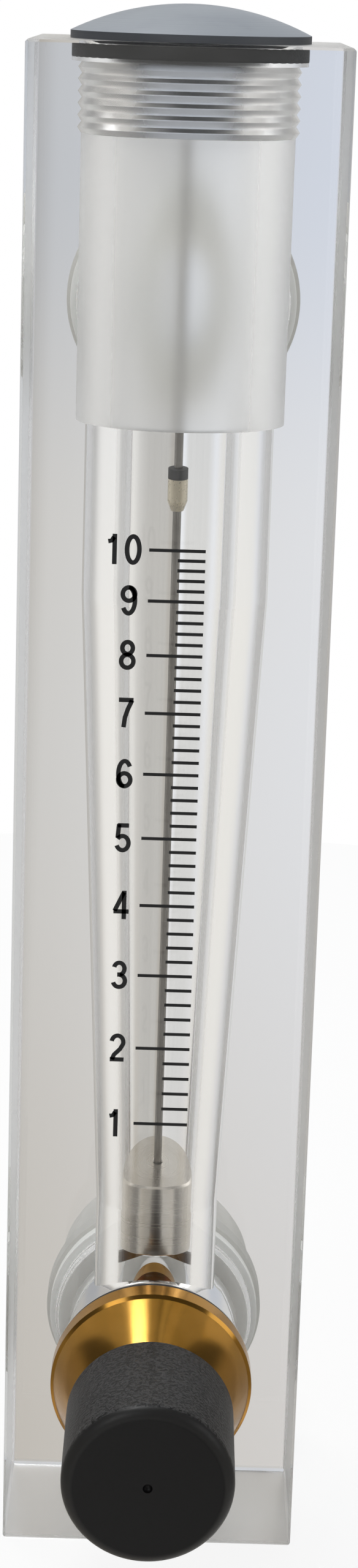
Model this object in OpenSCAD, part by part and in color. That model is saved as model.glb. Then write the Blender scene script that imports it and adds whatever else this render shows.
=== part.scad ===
// Panel mount flowmeter: a machined acrylic block with a tapered bore, a guided
// steel float, a threaded top plug, two rear pipe adapters and a brass control valve.
// The origin is the centre of the block's bottom face. Z is up and -Y is the front.

/* [Block] */
// Width of the acrylic block
block_w = 57.15; // [56:0.05:64]
// Depth of the acrylic block, front face to rear face
block_d = 44.45; // [44.4:0.05:52]
// Height of the acrylic block
block_h = 291.2; // [240:0.1:360]
// Bevel along the polished edges of the block
edge_bevel = 0.5; // [0.3:0.1:1]
// Height of the inlet and valve axis above the bottom face
valve_axis_z = 36.7; // [32:0.1:42]
// Distance of the outlet axis below the top face
outlet_below_top = 47.7; // [45:0.1:52]

/* [Metering bore] */
// Radius of the straight bore that the resting float sits in
low_bore_r = 11.9; // [11.6:0.05:12.5]
// Radius of the straight bore above the taper
high_bore_r = 17.35; // [16.8:0.05:17.8]
// Height above the valve axis at which the bore starts to widen
taper_above_valve = 31.3; // [28:0.1:38]
// Length of straight bore between the taper and the counterbore's step
taper_below_step = 33; // [26:0.1:40]
// Distance of the counterbore's step below the outlet axis
step_below_outlet = 20.5; // [20.3:0.1:24]
// Radius of the counterbore just above the step
counterbore_low_r = 19.15; // [18.4:0.05:19.2]
// Height above the valve axis of the bore's floor, down inside the valve chamber
floor_above_valve = 11.3; // [9.5:0.1:12]

/* [Port thread] */
// Crest radius of the thread on the plug and the rear adapters
port_thread_r = 19.85; // [19.6:0.05:20]
// Depth of the thread, crest to root
thread_depth = 0.7; // [0.5:0.05:0.9]
// Pitch of the threads cut in the block
thread_pitch = 2.117; // [1.8:0.001:2.4]
// Turns of thread on the top plug
plug_turns = 6; // [4:1:7]
// Radius of the smooth mouth that holds a port's sealing ring
mouth_r = 21.1; // [20.9:0.05:21.4]
// Depth of that mouth
mouth_depth = 3.8; // [3.6:0.1:4.2]
// Cord diameter of the port sealing rings
ring_cord_d = 3.5; // [3.2:0.05:3.5]
// How much each sealing ring is squeezed across its cord
ring_squeeze = 0.5; // [0.2:0.05:0.6]

/* [Top plug] */
// Radius of the plug's domed head
head_r = 21.75; // [21.6:0.05:22]
// Height of the head's straight rim
head_rim_h = 1.4; // [1:0.1:3]
// Height of the dome above the rim
dome_h = 5.1; // [3:0.1:7]
// Wall of the plug's hollow underside
plug_wall = 4; // [3:0.1:6]
// Depth of the hollow in the plug's underside
plug_hollow = 9; // [4:0.5:11]
// Radius of the boss that holds the guide rod
rod_boss_r = 5; // [4:0.1:7]

/* [Float and guide rod] */
// Radius of the steel float
float_r = 11.1; // [10.5:0.05:11.3]
// Height of the float
float_h = 14.6; // [12:0.1:18]
// Height of the resting float's lower face above the valve axis
rest_above_valve = 21.8; // [20.5:0.1:24]
// Bevel round the float's edges
float_bevel = 0.35; // [0.2:0.05:1]
// Radius of the guide rod
rod_r = 1.19; // [1:0.01:1.4]
// Distance of the stop sleeve's lower end below the counterbore's step
stop_below_step = 17.8; // [12:0.1:20]
// Length of the stop sleeve
stop_sleeve_h = 6.1; // [5:0.1:8]
// Radius of the stop sleeve
stop_sleeve_r = 2.8; // [2.4:0.05:3.5]
// Height of the stop's black ring
stop_ring_h = 1.9; // [1.2:0.1:3]
// Radius of the hub of the spider under the float
spider_hub_r = 2.6; // [2.2:0.1:3.5]
// Height of the spider's hub
spider_hub_h = 4.2; // [3:0.1:5]
// Thickness of each spider arm
spider_arm_t = 0.8; // [0.6:0.1:1.5]
// Number of spider arms
spider_arms = 3; // [3:1:4]

/* [Scale] */
// Reading of the lowest mark
scale_low = 1; // [1:1:2]
// Reading of the highest mark
scale_high = 10; // [8:1:10]
// Marks to each whole unit
marks_per_unit = 5; // [2:1:5]
// Height of the lowest mark above the taper's lower end
scale_above_taper = 22; // [18:0.1:26]
// Share of the taper that the first unit would take, if the scale didn't close up
scale_unit_share = 0.1293; // [0.12:0.0001:0.131]
// Share of the taper that the scale closes up by, with the square of the reading
scale_closing_share = 0.00305; // [0.0025:0.00001:0.0035]
// Length of a mark at a whole unit
long_mark = 10.2; // [8:0.1:12]
// Length of a mark between whole units
short_mark = 5; // [3:0.1:7]
// Width of a printed line
mark_w = 0.6; // [0.4:0.05:0.8]
// Distance from the block's centre line to the right ends of the marks
mark_right_x = 5.4; // [4:0.1:8]
// Thickness of the hot-stamped ink
ink_t = 0.05; // [0.03:0.01:0.1]

/* [Valve] */
// Radius of the bonnet's flange
bonnet_flange_r = 19.5; // [19.3:0.05:20.5]
// Thickness of the bonnet's flange
bonnet_flange_t = 4.2; // [3:0.1:5]
// Radius of the small end of the bonnet's cone
bonnet_nose_r = 15; // [13:0.1:15.5]
// Length of the bonnet's cone
bonnet_cone_h = 10.4; // [8:0.1:12]
// Crest radius of the bonnet's thread
bonnet_thread_r = 17.45; // [17.2:0.05:17.8]
// Turns of thread on the bonnet
bonnet_turns = 3; // [2:1:3]
// Radius of the smooth mouth that holds the bonnet's sealing ring
bonnet_mouth_r = 19.1; // [18.9:0.05:19.2]
// Depth of that mouth
bonnet_mouth_depth = 3; // [2.8:0.1:3.2]
// Cord diameter of the bonnet's sealing ring
bonnet_ring_d = 2.6; // [2.2:0.05:2.7]
// Radius of the valve chamber inside the block
chamber_r = 17.1; // [16.6:0.05:17.3]
// Distance of the valve seat behind the bore's axis
seat_y = 9; // [8.5:0.1:9.5]
// Radius of the throat through the seat
throat_r = 7.5; // [6.5:0.1:8]
// Height of the raised seat lip
seat_lip_h = 0.8; // [0.5:0.1:1.2]
// Width of the raised seat lip
seat_lip_w = 1.6; // [1:0.1:2]
// Radius of the valve disc
disc_r = 11; // [10:0.1:11.5]
// Thickness of the valve disc's plate
disc_t = 4; // [3:0.1:5]
// Thickness of the rubber seat washer
seat_washer_t = 2.6; // [2:0.1:3]
// Radius of the stem where it runs through the gland
stem_r = 4.85; // [4.5:0.05:5]
// Crest radius of the stem's thread
stem_thread_r = 5.5; // [5.3:0.05:5.8]
// Pitch of the stem's thread
stem_pitch = 1.27; // [1:0.01:1.5]
// Turns of the knob from closed to fully open
open_turns = 4; // [3:1:4]

/* [Knob] */
// Radius of the knob
knob_r = 15.875; // [15.6:0.025:18]
// Length of the knob
knob_len = 24.1; // [20:0.1:30]
// Radius of the knob's rounded front edge
knob_edge_r = 2.2; // [1:0.1:4]
// Radius of the brass insert moulded into the knob
insert_r = 6.5; // [6.2:0.1:8]
// Radius of the set screw
set_screw_r = 2; // [1.5:0.1:2.5]

/* [Rear adapters] */
// Turns of thread that hold an adapter in the block
adapter_turns = 2; // [2:1:3]
// Radius of the adapter's collar
collar_r = 21.9; // [21.7:0.05:22.5]
// Thickness of the adapter's collar
collar_t = 4; // [3:0.1:6]
// Length of the threaded barrel behind the collar
barrel_len = 16; // [14:0.5:40]
// Radius of the adapter's through passage
passage_r = 9.5; // [8:0.1:10]
// Wall radius of the pipe thread in the adapter's end
pipe_r = 12.1; // [11.9:0.05:12.5]
// Length of the pipe thread's wall
pipe_len = 18; // [14:0.5:20]

/* [Fits] */
// Radial gap between fixed threads and fits
fit = 0.1; // [0.05:0.01:0.12]
// Radial gap of a running fit
run = 0.1; // [0.05:0.01:0.1]
// Radial gap between a sealing ring and the walls that squeeze it
seal = 0.02; // [0.01:0.01:0.05]

/* [Hidden] */

$fn = 96;
// Overshoot that keeps a cut from ending on a face
eps = 0.5;

front_y = -block_d / 2;
rear_y = block_d / 2;
outlet_axis_z = block_h - outlet_below_top;

// Heights along the metering bore
step_z = outlet_axis_z - step_below_outlet;
taper_low_z = valve_axis_z + taper_above_valve;
taper_high_z = step_z - taper_below_step;
taper_len = taper_high_z - taper_low_z;
bore_floor_z = valve_axis_z + floor_above_valve;
float_rest_z = valve_axis_z + rest_above_valve;
stop_z = step_z - stop_below_step;
scale_low_z = taper_low_z + scale_above_taper;

// Plug and port thread
port_root_r = port_thread_r - thread_depth;
neck_r = mouth_r - ring_cord_d + ring_squeeze;
plug_thread_len = plug_turns * thread_pitch;
plug_end_z = block_h - mouth_depth - plug_thread_len;
counterbore_high_r = port_root_r + fit;
ring_seat = mouth_depth / 2;

// Float, rod and stop
float_hole_r = rod_r + run;
rod_low_z = float_rest_z - spider_hub_h;
rod_socket_roof = 1;
rod_socket = plug_hollow - rod_socket_roof;
rod_high_z = plug_end_z + rod_socket;
stop_tip_wall = 0.6;
stop_tip_r = rod_r + stop_tip_wall;
stop_tip_h = stop_sleeve_h * 0.3;
stop_ring_z = stop_z + stop_sleeve_h;
spider_reach = low_bore_r - fit;
spider_arm_h = spider_hub_h * 0.55;
first_arm_angle = 90;

// Valve, with places along Y
bonnet_root_r = bonnet_thread_r - thread_depth;
bonnet_squeeze = ring_squeeze * 0.6;
bonnet_neck_r = bonnet_mouth_r - bonnet_ring_d + bonnet_squeeze;
bonnet_in_y = front_y + bonnet_mouth_depth + bonnet_turns * thread_pitch;
bonnet_rim_y = front_y - bonnet_flange_t;
bonnet_nose_y = bonnet_rim_y - bonnet_cone_h;
bonnet_rim_bevel = 0.6;
gland_r = stem_r + run;
stem_travel = stem_pitch * open_turns;
lip_y = seat_y - seat_lip_h;
washer_gap = 0.05;
washer_face_y = lip_y - washer_gap;
washer_seat_y = washer_face_y - seat_washer_t;
disc_web = disc_t * 0.6;
disc_front_y = washer_seat_y - disc_web;
disc_rim = 0.9;
swivel_r = 3.55;
swivel_socket = 4.4;
hub_wall = 2.6;
hub_r = swivel_r + hub_wall;
hub_len = 5.2;
hub_front_y = disc_front_y - hub_len;
swivel_tip_y = hub_front_y + swivel_socket;
clip_w = 1;
clip_y = hub_front_y + swivel_socket / 2;
clip_bite = 0.5;
clip_reach = 1;
clip_in_r = swivel_r - clip_bite;
clip_out_r = swivel_r + clip_reach;
screw_r = 1.5;
screw_end_gap = 0.4;
screw_head_r = 3.2;
screw_head_h = 1.6;
screw_slot_w = 0.8;
stem_neck_len = 1.4;
stem_thread_y = bonnet_in_y - stem_neck_len;
stem_turns = 3;
stem_stop_gap = 0.86;
gland_in_y = stem_thread_y - stem_turns * stem_pitch - stem_travel - stem_stop_gap;
stem_ring_d = 1.8;
stem_groove_w = 2.1;
stem_ring_setback = 2.5;
stem_ring_step = 3.4;
stem_ring_inner_y = gland_in_y - stem_ring_setback;
stem_ring_outer_y = stem_ring_inner_y - stem_ring_step;
stem_groove_r = gland_r - seal - stem_ring_d;
knob_gap = 0.5;

// Knob
knob_rear_y = bonnet_nose_y - knob_gap;
knob_front_y = knob_rear_y - knob_len;
knob_recess = 3;
knob_wall = 3;
insert_rear_y = knob_rear_y - knob_recess;
insert_len = 14;
stem_shoulder = 0.75;
insert_bore_r = stem_r - stem_shoulder;
stem_tip_gap = 1;
stem_tip_y = insert_rear_y - insert_len + stem_tip_gap;
set_screw_y = insert_rear_y - insert_len * 0.45;
set_screw_len = 8;
set_screw_key_r = set_screw_r / 2;
set_screw_key_depth = 3.2;
stem_flat = 0.6;
gate_dimple_r = 0.9;

// Rear adapters
adapter_turn_len = adapter_turns * thread_pitch;
port_end_gap = 0.6;
port_depth = mouth_depth + adapter_turn_len + port_end_gap;
adapter_len = collar_t + barrel_len;
pipe_lead = 1.2;
barrel_shoulder = 1;
barrel_turns = floor((barrel_len - barrel_shoulder) / thread_pitch);

// Corners of a rectangle with bevelled corners, centred on the origin
function bevelled(w, h, c) = [
    [-w / 2 + c, -h / 2], [w / 2 - c, -h / 2], [w / 2, -h / 2 + c], [w / 2, h / 2 - c],
    [w / 2 - c, h / 2], [-w / 2 + c, h / 2], [-w / 2, h / 2 - c], [-w / 2, -h / 2 + c]];

// Outline of ring-shaped thread turns, root to crest to root, up from s
function turns_outline(root, crest, pitch, turns, s) = [
    for (i = [0:turns - 1], half = [0, 1])
        [half == 0 ? root : crest, s + (i + half / 2) * pitch]];

// Height of a scale reading above the bottom face
function reading_z(reading) =
    scale_low_z + taper_len * (scale_unit_share * (reading - scale_low)
    - scale_closing_share * pow(reading - scale_low, 2));

// Turns what is drawn up Z so that it points towards the rear, at height z
module towards_rear(y, z) {
    translate([0, y, z]) rotate([-90, 0, 0]) children();
}

// Turns what is drawn up Z so that it points towards the front, at height z
module towards_front(y, z) {
    translate([0, y, z]) rotate([90, 0, 0]) children();
}

// Round core with thread turns, from its free end up to the shoulder
module threaded_core(root, crest, pitch, turns) {
    rotate_extrude()
        polygon(concat([[0, 0]], turns_outline(root, crest, pitch, turns, 0),
            [[root, turns * pitch], [0, turns * pitch]]));
}

// Sealing ring whose cord is flattened where the walls squeeze it
module squeezed_ring(outer_r, cord_d, squeeze) {
    rotate_extrude()
        translate([outer_r - (cord_d - squeeze) / 2, 0])
            intersection() {
                circle(d = cord_d, $fn = 48);
                square([cord_d - squeeze, cord_d], center = true);
            }
}

// Hollow left in the block by a port: smooth mouth, thread and a flat floor
module port_cut(turns, depth) {
    translate([0, 0, -eps]) cylinder(r = mouth_r, h = mouth_depth + eps);
    cylinder(r = port_root_r + fit, h = depth);
    translate([0, 0, mouth_depth])
        threaded_core(port_root_r + fit, port_thread_r + fit, thread_pitch, turns);
}

// Straight bore, taper and straight upper bore that the float moves in
module metering_bore() {
    rotate_extrude()
        polygon([[0, bore_floor_z], [low_bore_r, bore_floor_z], [low_bore_r, taper_low_z],
            [high_bore_r, taper_high_z], [high_bore_r, step_z + eps], [0, step_z + eps]]);
}

// Counterbore above the step, with the plug's thread and mouth
module plug_bore() {
    rotate_extrude()
        polygon([[0, step_z], [counterbore_low_r, step_z],
            [counterbore_high_r, plug_end_z], [counterbore_high_r, block_h - mouth_depth + eps],
            [0, block_h - mouth_depth + eps]]);
    translate([0, 0, block_h])
        mirror([0, 0, 1])
        port_cut(plug_turns, mouth_depth + plug_thread_len);
}

// Chamber, front mouth and thread of the valve, and the throat through the seat
module valve_bore() {
    towards_rear(front_y, valve_axis_z) {
        translate([0, 0, -eps]) cylinder(r = bonnet_mouth_r, h = bonnet_mouth_depth + eps);
        cylinder(r = bonnet_root_r + fit, h = block_d / 2);
        translate([0, 0, bonnet_mouth_depth])
            threaded_core(bonnet_root_r + fit, bonnet_thread_r + fit, thread_pitch, bonnet_turns);
    }
    difference() {
        towards_rear(bonnet_in_y, valve_axis_z) cylinder(r = chamber_r, h = seat_y - bonnet_in_y);
        towards_rear(lip_y, valve_axis_z) cylinder(r = throat_r + seat_lip_w, h = seat_lip_h + eps);
    }
    towards_rear(0, valve_axis_z) cylinder(r = throat_r, h = block_d / 2 - eps);
}

module acrylic_block() {
    color([0.85, 0.89, 0.91, 0.35])
    difference() {
        intersection() {
            linear_extrude(block_h) polygon(bevelled(block_w, block_d, edge_bevel));
            towards_rear(front_y, block_h / 2)
                linear_extrude(block_d) polygon(bevelled(block_w, block_h, edge_bevel));
            translate([-block_w / 2, 0, block_h / 2]) rotate([90, 0, 90])
                linear_extrude(block_w) polygon(bevelled(block_d, block_h, edge_bevel));
        }
        metering_bore();
        plug_bore();
        valve_bore();
        towards_front(rear_y, valve_axis_z) port_cut(adapter_turns, port_depth);
        towards_front(rear_y, outlet_axis_z) port_cut(adapter_turns, port_depth);
    }
}

module scale_ticks() {
    color([0.08, 0.08, 0.09])
    for (i = [0:(scale_high - scale_low) * marks_per_unit]) {
        reading = scale_low + i / marks_per_unit;
        mark_len = i % marks_per_unit == 0 ? long_mark : short_mark;
        translate([mark_right_x - mark_len, front_y - ink_t, reading_z(reading) - mark_w / 2])
            cube([mark_len, ink_t, mark_w]);
    }
}

// Neck and thread that a plug or an adapter puts into the block, free end at 0
module port_shank(turns) {
    threaded_core(port_root_r, port_thread_r, thread_pitch, turns);
    translate([0, 0, turns * thread_pitch]) cylinder(r = neck_r, h = mouth_depth);
}

module top_plug() {
    dome_r = (head_r * head_r + dome_h * dome_h) / (2 * dome_h);
    color([0.66, 0.68, 0.70])
    difference() {
        union() {
            translate([0, 0, plug_end_z]) port_shank(plug_turns);
            translate([0, 0, block_h]) cylinder(r = head_r, h = head_rim_h);
            translate([0, 0, block_h + head_rim_h]) intersection() {
                translate([0, 0, dome_h - dome_r]) sphere(r = dome_r);
                cylinder(r = head_r, h = dome_h + eps);
            }
        }
        translate([0, 0, plug_end_z - eps]) difference() {
            cylinder(r = port_root_r - plug_wall, h = plug_hollow + eps);
            cylinder(r = rod_boss_r, h = plug_hollow + eps);
        }
        translate([0, 0, plug_end_z - eps]) cylinder(r = rod_r + fit / 2, h = rod_socket + eps);
    }
}

module top_plug_ring() {
    color([0.07, 0.07, 0.08])
    translate([0, 0, block_h - ring_seat])
        squeezed_ring(mouth_r - seal, ring_cord_d - 2 * seal, ring_squeeze);
}

module guide_rod() {
    color([0.70, 0.71, 0.72])
    translate([0, 0, rod_low_z]) cylinder(r = rod_r, h = rod_high_z - rod_low_z);
}

module stop_ring() {
    color([0.08, 0.08, 0.08])
    translate([0, 0, stop_ring_z]) difference() {
        cylinder(r = stop_sleeve_r, h = stop_ring_h);
        translate([0, 0, -eps]) cylinder(r = rod_r + seal, h = stop_ring_h + 2 * eps);
    }
}

module stop_sleeve() {
    color([0.80, 0.76, 0.62])
    translate([0, 0, stop_z]) rotate_extrude()
        polygon([[rod_r + seal, 0], [stop_tip_r, 0], [stop_sleeve_r, stop_tip_h],
            [stop_sleeve_r, stop_sleeve_h], [rod_r + seal, stop_sleeve_h]]);
}

module rod_spider() {
    color([0.72, 0.73, 0.74])
    translate([0, 0, rod_low_z]) difference() {
        union() {
            cylinder(r = spider_hub_r, h = spider_hub_h);
            for (a = [0:spider_arms - 1])
                rotate(first_arm_angle + a * 360 / spider_arms)
                    translate([0, -spider_arm_t / 2, 0])
                        cube([spider_reach, spider_arm_t, spider_arm_h]);
        }
        translate([0, 0, -eps]) cylinder(r = rod_r + seal, h = spider_hub_h + 2 * eps);
    }
}

module float() {
    color([0.66, 0.65, 0.63])
    translate([0, 0, float_rest_z]) rotate_extrude()
        polygon([[float_hole_r, 0], [float_r - float_bevel, 0], [float_r, float_bevel],
            [float_r, float_h - float_bevel], [float_r - float_bevel, float_h],
            [float_hole_r + float_bevel, float_h], [float_hole_r, float_h - float_bevel]]);
}

module valve_bonnet() {
    color([0.72, 0.53, 0.22])
    difference() {
        union() {
            towards_front(bonnet_in_y, valve_axis_z) {
                threaded_core(bonnet_root_r, bonnet_thread_r, thread_pitch, bonnet_turns);
                translate([0, 0, bonnet_turns * thread_pitch])
                    cylinder(r = bonnet_neck_r, h = bonnet_mouth_depth);
            }
            towards_front(front_y, valve_axis_z) rotate_extrude()
                polygon([[0, 0], [bonnet_flange_r, 0],
                    [bonnet_flange_r, bonnet_flange_t - bonnet_rim_bevel],
                    [bonnet_flange_r - bonnet_rim_bevel, bonnet_flange_t],
                    [bonnet_nose_r, bonnet_flange_t + bonnet_cone_h],
                    [0, bonnet_flange_t + bonnet_cone_h]]);
        }
        towards_front(bonnet_in_y + eps, valve_axis_z)
            cylinder(r = stem_thread_r + run, h = bonnet_in_y + eps - gland_in_y);
        towards_front(0, valve_axis_z) cylinder(r = gland_r, h = -bonnet_nose_y + eps);
    }
}

module bonnet_ring() {
    color([0.07, 0.07, 0.08])
    towards_rear(front_y + bonnet_mouth_depth / 2, valve_axis_z)
        squeezed_ring(bonnet_mouth_r - seal, bonnet_ring_d - 2 * seal, bonnet_squeeze);
}

module valve_disc() {
    color([0.70, 0.50, 0.20])
    difference() {
        union() {
            towards_rear(disc_front_y, valve_axis_z)
                cylinder(r = disc_r, h = disc_t);
            towards_rear(hub_front_y, valve_axis_z) cylinder(r = hub_r, h = hub_len);
        }
        towards_rear(washer_seat_y, valve_axis_z)
            cylinder(r = disc_r - disc_rim, h = disc_t);
        towards_rear(hub_front_y - eps, valve_axis_z)
            cylinder(r = swivel_r + run, h = swivel_socket + eps);
        towards_rear(clip_y - clip_w / 2, valve_axis_z)
            cylinder(r = clip_out_r, h = clip_w);
        towards_rear(swivel_tip_y, valve_axis_z)
            cylinder(r = screw_r + seal, h = disc_t + hub_len);
    }
}

module seat_washer() {
    color([0.09, 0.09, 0.09])
    towards_rear(washer_seat_y, valve_axis_z) difference() {
        cylinder(r = disc_r - disc_rim - seal, h = seat_washer_t);
        translate([0, 0, -eps]) cylinder(r = screw_r + seal, h = seat_washer_t + 2 * eps);
    }
}

module washer_screw() {
    color([0.74, 0.56, 0.26])
    difference() {
        union() {
            towards_rear(swivel_tip_y + screw_end_gap, valve_axis_z)
                cylinder(r = screw_r, h = washer_face_y - swivel_tip_y);
            towards_rear(washer_face_y, valve_axis_z)
                cylinder(r = screw_head_r, h = screw_head_h);
        }
        translate([-screw_head_r, washer_face_y + screw_head_h / 2,
            valve_axis_z - screw_slot_w / 2])
            cube([2 * screw_head_r, screw_head_h, screw_slot_w]);
    }
}

module swivel_clip() {
    color([0.70, 0.71, 0.72])
    towards_rear(clip_y - clip_w / 2 + seal, valve_axis_z) difference() {
        cylinder(r = clip_out_r - seal, h = clip_w - 2 * seal);
        translate([0, 0, -eps]) cylinder(r = clip_in_r + run, h = clip_w + 2 * eps);
        translate([-clip_in_r / 2, 0, -eps]) cube([clip_in_r, 2 * swivel_r, clip_w + 2 * eps]);
    }
}

module valve_stem() {
    color([0.70, 0.71, 0.72])
    difference() {
        union() {
            towards_front(swivel_tip_y - run, valve_axis_z)
                cylinder(r = swivel_r, h = swivel_tip_y - run - stem_thread_y);
            towards_front(stem_thread_y, valve_axis_z) {
                threaded_core(stem_r, stem_thread_r, stem_pitch, stem_turns);
                cylinder(r = stem_r, h = stem_thread_y - insert_rear_y);
            }
            towards_front(insert_rear_y, valve_axis_z)
                cylinder(r = insert_bore_r - fit / 2, h = insert_rear_y - stem_tip_y);
        }
        for (y = [stem_ring_inner_y, stem_ring_outer_y])
            towards_rear(y - stem_groove_w / 2, valve_axis_z) difference() {
                cylinder(r = stem_r + eps, h = stem_groove_w);
                cylinder(r = stem_groove_r - seal, h = stem_groove_w);
            }
        towards_rear(clip_y - clip_w / 2 - run, valve_axis_z) difference() {
            cylinder(r = swivel_r + eps, h = clip_w + 2 * run);
            cylinder(r = clip_in_r, h = clip_w + 2 * run);
        }
        translate([-stem_r, stem_tip_y - eps, valve_axis_z - stem_r - insert_bore_r + stem_flat])
            cube([2 * stem_r, insert_rear_y - stem_tip_y, stem_r]);
    }
}

// Small sealing ring in a groove of the stem
module stem_ring(y) {
    color([0.07, 0.07, 0.08])
    towards_rear(y, valve_axis_z) rotate_extrude()
        translate([gland_r - seal - stem_ring_d / 2, 0]) circle(d = stem_ring_d, $fn = 48);
}

module knob() {
    color([0.13, 0.13, 0.14])
    difference() {
        towards_front(knob_rear_y, valve_axis_z) rotate_extrude() union() {
            square([knob_r, knob_len - knob_edge_r]);
            square([knob_r - knob_edge_r, knob_len]);
            translate([knob_r - knob_edge_r, knob_len - knob_edge_r]) intersection() {
                circle(r = knob_edge_r, $fn = 64);
                square(knob_edge_r);
            }
        }
        towards_front(knob_rear_y + eps, valve_axis_z)
            cylinder(r = knob_r - knob_wall, h = knob_recess + eps);
        towards_front(insert_rear_y + eps, valve_axis_z)
            cylinder(r = insert_r + seal, h = insert_len + eps);
        translate([0, set_screw_y, valve_axis_z - knob_r - eps])
            cylinder(r = set_screw_r + fit / 2, h = knob_r);
        towards_rear(knob_front_y, valve_axis_z) sphere(r = gate_dimple_r);
    }
}

module knob_insert() {
    color([0.74, 0.56, 0.26])
    difference() {
        towards_front(insert_rear_y, valve_axis_z) cylinder(r = insert_r, h = insert_len);
        towards_front(insert_rear_y + eps, valve_axis_z)
            cylinder(r = insert_bore_r, h = insert_len + 2 * eps);
        translate([0, set_screw_y, valve_axis_z - insert_r - eps])
            cylinder(r = set_screw_r + fit / 2, h = insert_r);
    }
}

module knob_set_screw() {
    screw_top_z = valve_axis_z - insert_bore_r + stem_flat - seal;
    color([0.25, 0.25, 0.27])
    translate([0, set_screw_y, screw_top_z - set_screw_len]) difference() {
        cylinder(r = set_screw_r, h = set_screw_len);
        translate([0, 0, -eps])
            cylinder(r = set_screw_key_r, h = set_screw_key_depth + eps, $fn = 6);
    }
}

// Pale pipe adapter, drawn from its free end in the block towards the rear
module adapter(z) {
    color([0.88, 0.88, 0.86])
    towards_rear(rear_y - mouth_depth - adapter_turn_len, z) difference() {
        union() {
            port_shank(adapter_turns);
            translate([0, 0, mouth_depth + adapter_turn_len]) {
                cylinder(r = collar_r, h = collar_t);
                translate([0, 0, adapter_len]) mirror([0, 0, 1])
                    threaded_core(port_root_r, port_thread_r, thread_pitch, barrel_turns);
                cylinder(r = port_root_r, h = adapter_len);
            }
        }
        translate([0, 0, -eps])
            cylinder(r = passage_r, h = mouth_depth + adapter_turn_len + adapter_len);
        translate([0, 0, mouth_depth + adapter_turn_len + adapter_len - pipe_len - pipe_lead])
            cylinder(r = pipe_r, h = pipe_len + pipe_lead + eps);
        translate([0, 0, mouth_depth + adapter_turn_len + adapter_len - pipe_lead])
            cylinder(r1 = pipe_r, r2 = pipe_r + pipe_lead, h = pipe_lead + seal);
    }
}

// Sealing ring between an adapter's collar and the block
module adapter_ring(z) {
    color([0.84, 0.84, 0.82])
    towards_rear(rear_y - ring_seat, z)
        squeezed_ring(mouth_r - seal, ring_cord_d - 2 * seal, ring_squeeze);
}

acrylic_block();
scale_ticks();
top_plug();
top_plug_ring();
guide_rod();
stop_ring();
stop_sleeve();
rod_spider();
float();
valve_bonnet();
bonnet_ring();
valve_disc();
seat_washer();
washer_screw();
swivel_clip();
valve_stem();
stem_ring(stem_ring_inner_y);  // stem_ring_inner
stem_ring(stem_ring_outer_y);  // stem_ring_outer
knob();
knob_insert();
knob_set_screw();
adapter(valve_axis_z);  // inlet_adapter
adapter_ring(valve_axis_z);  // inlet_ring
adapter(outlet_axis_z);  // outlet_adapter
adapter_ring(outlet_axis_z);  // outlet_ring
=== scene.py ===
# %% [markdown]
# # A panel mount flowmeter in clear acrylic
# The solids come from a CAD model. This lesson
# gives them their looks: clear acrylic, printed ink, turned brass, moulded plastic.
# A first cell loads the model. Every later cell adds one finish or one small piece,
# in metres, in the model's own frame, so nothing has to be fitted by eye.

# %% Load the model
import math

import bmesh
import bpy
from mathutils import Matrix, Vector


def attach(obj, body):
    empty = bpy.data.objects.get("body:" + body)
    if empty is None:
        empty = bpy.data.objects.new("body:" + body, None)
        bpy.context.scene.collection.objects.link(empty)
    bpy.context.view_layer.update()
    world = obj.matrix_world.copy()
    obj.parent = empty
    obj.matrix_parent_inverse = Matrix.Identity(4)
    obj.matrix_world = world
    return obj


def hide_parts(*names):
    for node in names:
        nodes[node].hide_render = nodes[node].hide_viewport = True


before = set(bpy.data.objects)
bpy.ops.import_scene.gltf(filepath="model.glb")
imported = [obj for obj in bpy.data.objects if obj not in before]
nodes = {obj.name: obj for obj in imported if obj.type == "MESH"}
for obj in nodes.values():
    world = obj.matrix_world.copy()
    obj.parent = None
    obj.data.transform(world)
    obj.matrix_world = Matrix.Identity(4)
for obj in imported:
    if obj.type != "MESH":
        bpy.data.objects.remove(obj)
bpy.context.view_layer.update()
MM = 0.001
print("pieces from the CAD model:", len(nodes))

# %% [markdown]
# ## Three helpers
# Colours are written as sRGB hex values, but a shader works in linear light, so one
# function turns the first into the second. A second one adds a shader node together
# with its settings and links, which keeps each finish short to read. The third starts
# a material that has nothing yet but its output.

# %% Helpers
def linear(hex_code):
    """sRGB hex colour as linear RGBA."""
    parts = [int(hex_code[i:i + 2], 16) / 255 for i in (1, 3, 5)]
    return tuple(
        c / 12.92 if c <= 0.04045 else ((c + 0.055) / 1.055) ** 2.4 for c in parts
    ) + (1.0,)


def add(tree, kind, settings=None, links=None):
    """Adds a node. Settings name its properties or inputs, links its linked inputs."""
    node = tree.nodes.new(kind if "Node" in kind else "ShaderNode" + kind)
    for key, value in (settings or {}).items():
        if isinstance(key, int) or key in node.inputs:
            node.inputs[key].default_value = value
        else:
            setattr(node, key, value)
    for key, source in (links or {}).items():
        tree.links.new(source, node.inputs[key])
    return node


def new_material(name):
    """An empty material, its node tree and its output."""
    made = bpy.data.materials.new(name)
    made.use_nodes = True
    made.node_tree.nodes.clear()
    return made, made.node_tree, add(made.node_tree, "OutputMaterial")


print("helpers ready")

# %% [markdown]
# ## The camera
# The photograph was taken from a little above the meter's top with a long lens, and
# the picture was cut so that the lens axis is not at its middle. That is why the shift
# is not zero. The position came from the block's corners and from the round parts.

# %% Camera
PICTURE = (584, 2560)
FOCAL_PX = 4236
AXIS_PX = (292, 1015)
CAMERA_AT = Vector((0.4, -479.6, 301.2)) * MM
PITCH_DOWN, ROLL, YAW = (math.radians(a) for a in (13.82, 1.74, 0.07))
SENSOR_MM = 36
NEAREST = 0.01

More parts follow.
